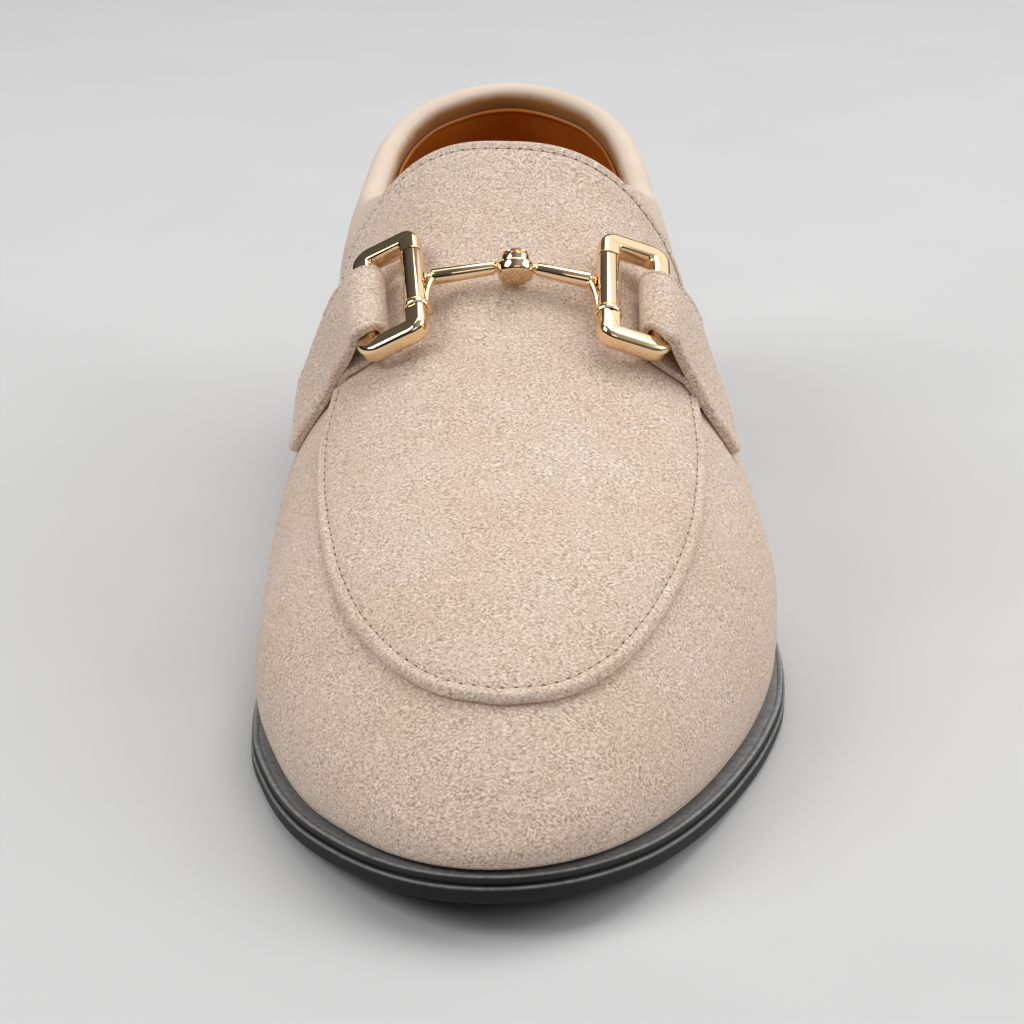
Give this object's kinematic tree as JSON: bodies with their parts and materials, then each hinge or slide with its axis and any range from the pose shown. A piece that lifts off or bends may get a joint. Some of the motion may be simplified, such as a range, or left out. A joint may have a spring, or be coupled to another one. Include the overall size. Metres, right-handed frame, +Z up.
{
  "type": "buckle loafer",
  "caption": "Slip-on suede loafer with a raised apron, padded collar, thin rubber sole, low heel and a gold bit buckle held by side straps; worn on a left foot",
  "frame": {"origin": "middle of the bounding box in plan, on the plane that the heel and the ball of the sole rest on", "axes": "+Z is up; -Y is towards the toe and +Y towards the heel; -X is the medial (big toe) side of this left shoe and +X the lateral side"},
  "size_m": [0.0984, 0.266, 0.0871],
  "materials": {
    "suede": "brushed beige suede with a short nap",
    "tan_leather": "smooth tan lining leather",
    "black_rubber": "satin black rubber",
    "polished_gold": "polished pale gold plating"
  },
  "bodies": {
    "root": {"outsole": "black_rubber", "heel": "black_rubber", "welt": "black_rubber", "insole": "tan_leather", "upper": "suede", "apron": "suede", "strap_medial": "suede", "strap_lateral": "suede", "frame_medial": "polished_gold", "frame_lateral": "polished_gold", "sleeve_medial": "polished_gold", "sleeve_lateral": "polished_gold", "rod_medial": "polished_gold", "rod_lateral": "polished_gold", "centre_joint": "polished_gold"}
  },
  "joints": []
}
